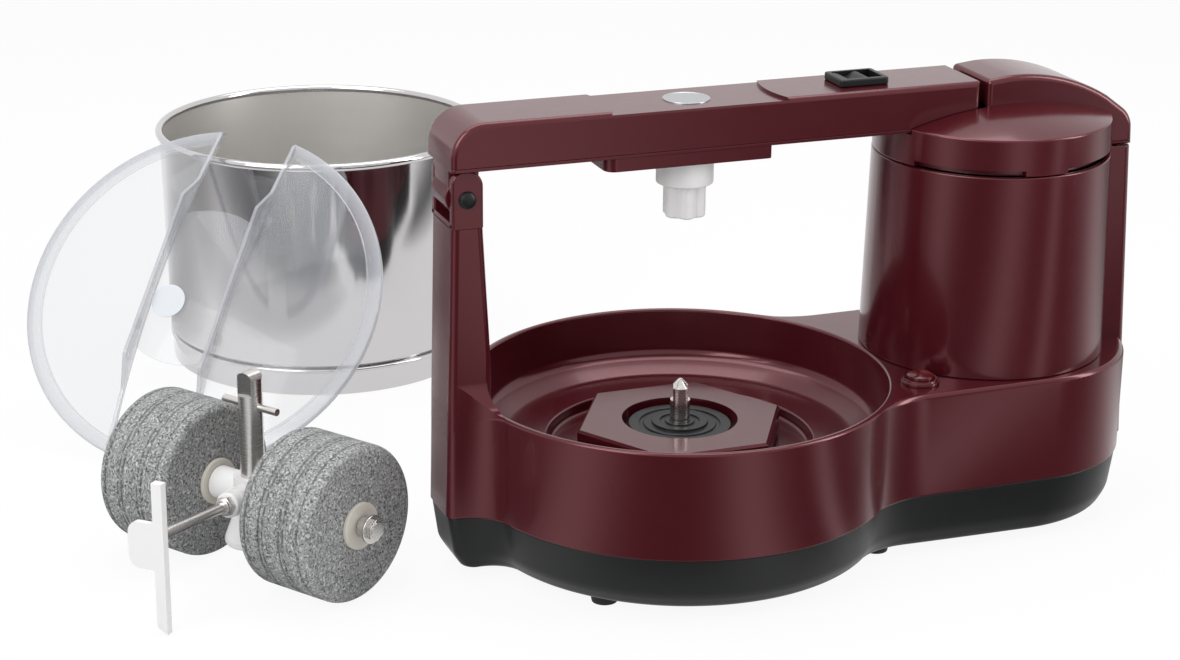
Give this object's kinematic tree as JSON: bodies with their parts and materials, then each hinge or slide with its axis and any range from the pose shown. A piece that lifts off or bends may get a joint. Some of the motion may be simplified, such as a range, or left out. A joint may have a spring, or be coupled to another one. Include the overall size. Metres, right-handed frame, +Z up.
{
  "type": "table-top wet grinder",
  "caption": "Table-top wet grinder with a tilting lock-down arm, belt-driven hexagonal drum drive, steel drum with granite bed, clear lid and a lift-out set of granite roller stones.",
  "frame": {"origin": "on the table under the middle of the box round the whole laid-out set", "axes": "+X along the arm from the hinge post to the motor tower, +Y to the back where the drum stands, +Z up"},
  "size_m": [0.6376, 0.6632, 0.2826],
  "materials": {
    "burgundy": "glossy moulded",
    "charcoal": "satin moulded",
    "rubber": "matt",
    "red_button": "glossy",
    "nylon": "satin",
    "polished_steel": "mirror polished",
    "steel": "turned",
    "zinc": "plated",
    "cast_metal": "cast",
    "core_steel": "laminated",
    "copper": "enamelled wire",
    "granite": "speckled stone",
    "clear": "clear moulded",
    "blank_label": "blank"
  },
  "bodies": {
    "machine": {"base_pan": "charcoal", "rubber_feet": "rubber", "pan_screws": "zinc", "main_housing": "burgundy", "hinge_bracket": "burgundy", "hinge_pin": "charcoal", "tower_shell": "burgundy", "tower_cap": "burgundy", "latch_keeper": "zinc", "cord_gland": "charcoal", "button_bezel": "burgundy", "power_switch": "charcoal", "motor_plate": "zinc", "lower_end_shield": "cast_metal", "upper_end_shield": "cast_metal", "motor_stator": "core_steel", "stator_windings": "copper", "run_capacitor": "cast_metal", "bearing_housing": "cast_metal", "spindle_bearings": "steel", "drive_belt": "rubber"},
    "drum_drive": {"hex_coupling": "burgundy", "spindle": "steel", "coupling_cap": "charcoal", "driven_pulley": "charcoal", "pulley_nut": "zinc"},
    "rotor": {"motor_rotor": "core_steel", "motor_shaft": "steel", "motor_pulley": "cast_metal", "cooling_fan": "charcoal"},
    "button": {"power_button": "red_button"},
    "arm": {"arm_upper_cover": "burgundy", "arm_lower_cover": "burgundy", "coupling_housing": "burgundy", "shaft_coupling": "nylon", "badge_disc": "polished_steel", "arm_screws": "zinc", "latch_bezel": "charcoal"},
    "latch": {"latch_slider": "charcoal", "latch_bolt": "zinc"},
    "drum": {"drum_shell": "polished_steel", "drum_base_ring": "polished_steel", "drum_socket_plate": "charcoal", "granite_bed": "granite", "centre_tube": "nylon"},
    "lid": {"lid_panel": "clear", "lid_disc": "blank_label"},
    "roller_frame": {"roller_shaft": "steel", "cross_pin": "steel", "roller_hub": "nylon", "stone_axle": "steel", "axle_washers": "zinc", "axle_nuts": "zinc", "scraper_rod": "steel", "scraper_nut": "zinc", "scraper_blade": "nylon"},
    "left_roller": {"left_stone": "granite", "left_bush": "nylon"},
    "right_roller": {"right_stone": "granite", "right_bush": "nylon"}
  },
  "joints": [
    {"name": "arm_hinge", "type": "hinge", "parent": "machine", "child": "arm", "pos_m": [-0.11674, -0.20265, 0.233], "axis": [0, -1, 0], "range_deg": [0, 95]},
    {"name": "latch_slide", "type": "slide", "parent": "arm", "child": "latch", "axis": [1, 0, 0], "range_m": [0, 0.008]},
    {"name": "button_press", "type": "slide", "parent": "machine", "child": "button", "axis": [0, 0, -1], "range_m": [0, 0.003], "stiffness_N_per_m": 600, "springref_m": -0.001},
    {"name": "motor_spin", "type": "hinge", "parent": "machine", "child": "rotor", "pos_m": [0.22526, -0.20265, 0.157], "axis": [0, 0, 1], "continuous": true},
    {"name": "drive_spin", "type": "hinge", "parent": "machine", "child": "drum_drive", "pos_m": [0.02326, -0.20265, 0.044], "axis": [0, 0, 1], "continuous": true},
    {"name": "drum_lift", "type": "slide", "parent": "machine", "child": "drum", "axis": [0, 0, 1], "range_m": [0, 0.25]},
    {"name": "lid_lift", "type": "slide", "parent": "drum", "child": "lid", "axis": [0, 0, 1], "range_m": [0, 0.2]},
    {"name": "roller_lift", "type": "slide", "parent": "machine", "child": "roller_frame", "axis": [0, 0, 1], "range_m": [0, 0.12]},
    {"name": "left_stone_spin", "type": "hinge", "parent": "roller_frame", "child": "left_roller", "pos_m": [-0.23034, -0.15935, 0.047], "axis": [0.5519, -0.8339, 0], "continuous": true},
    {"name": "right_stone_spin", "type": "hinge", "parent": "roller_frame", "child": "right_roller", "pos_m": [-0.23034, -0.15935, 0.047], "axis": [0.5519, -0.8339, 0], "continuous": true}
  ],
  "couplings": [
    {"joint": "drive_spin", "follows": "motor_spin", "ratio": 0.25}
  ]
}
